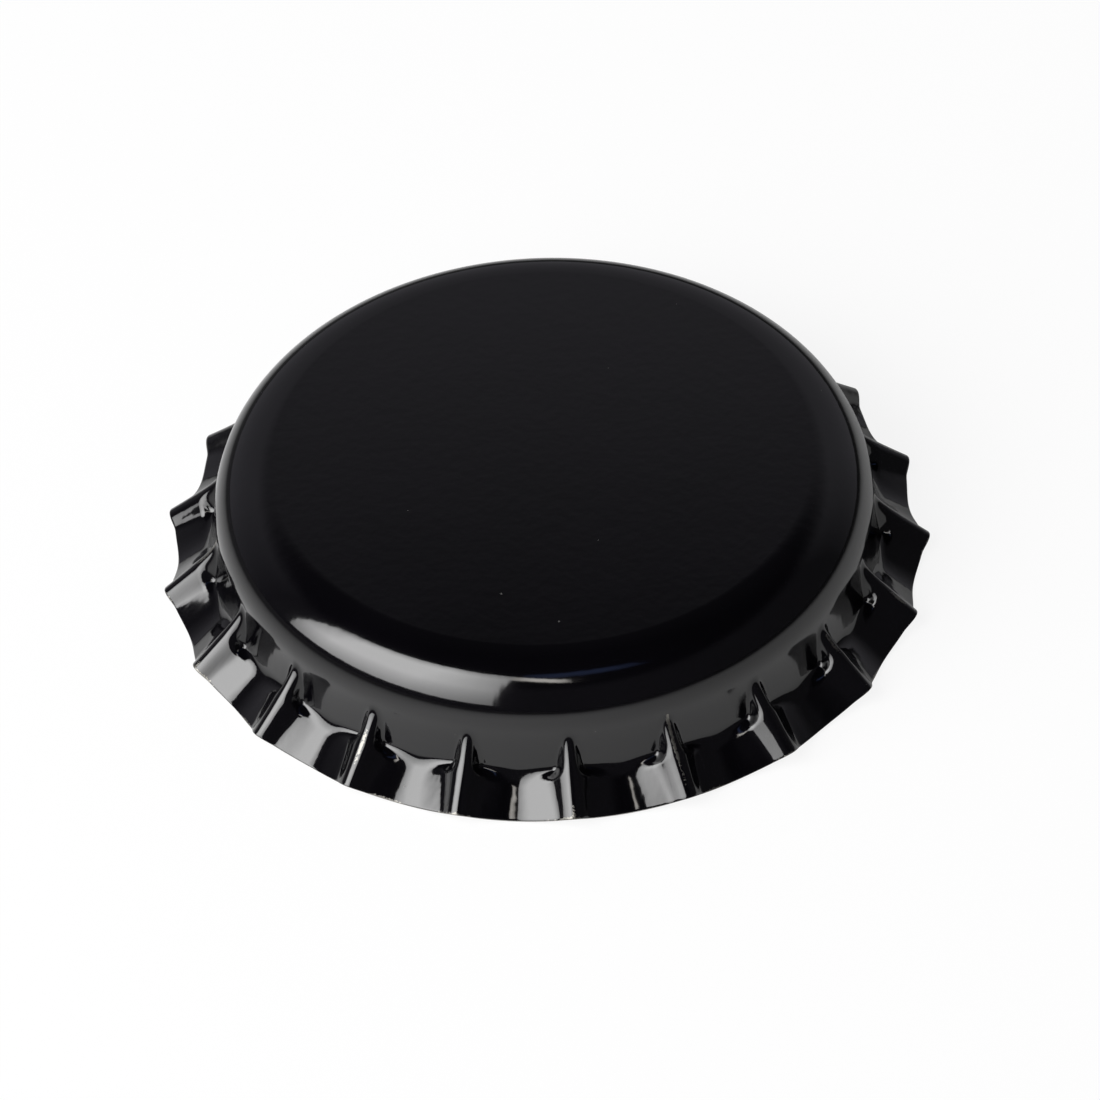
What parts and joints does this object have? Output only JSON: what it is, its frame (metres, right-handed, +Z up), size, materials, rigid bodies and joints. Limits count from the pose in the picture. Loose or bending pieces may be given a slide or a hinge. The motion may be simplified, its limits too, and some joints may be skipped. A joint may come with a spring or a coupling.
{
  "type": "crown bottle cap",
  "caption": "Round pressed metal crown cap with a flat top, rounded shoulder and fluted, toothed skirt that crimps over a bottle's lip, and a moulded sealing liner inside.",
  "frame": {"origin": "on the cap's axis, in the plane that its rim stands on", "axes": "+Z up along the axis, out through the top panel; -Y through the tip of one tooth"},
  "size_m": [0.032, 0.032, 0.006],
  "materials": {
    "lacquered_tinplate": "gloss",
    "liner_compound": "satin"
  },
  "bodies": {
    "root": {"shell": "lacquered_tinplate", "liner": "liner_compound"}
  },
  "joints": []
}
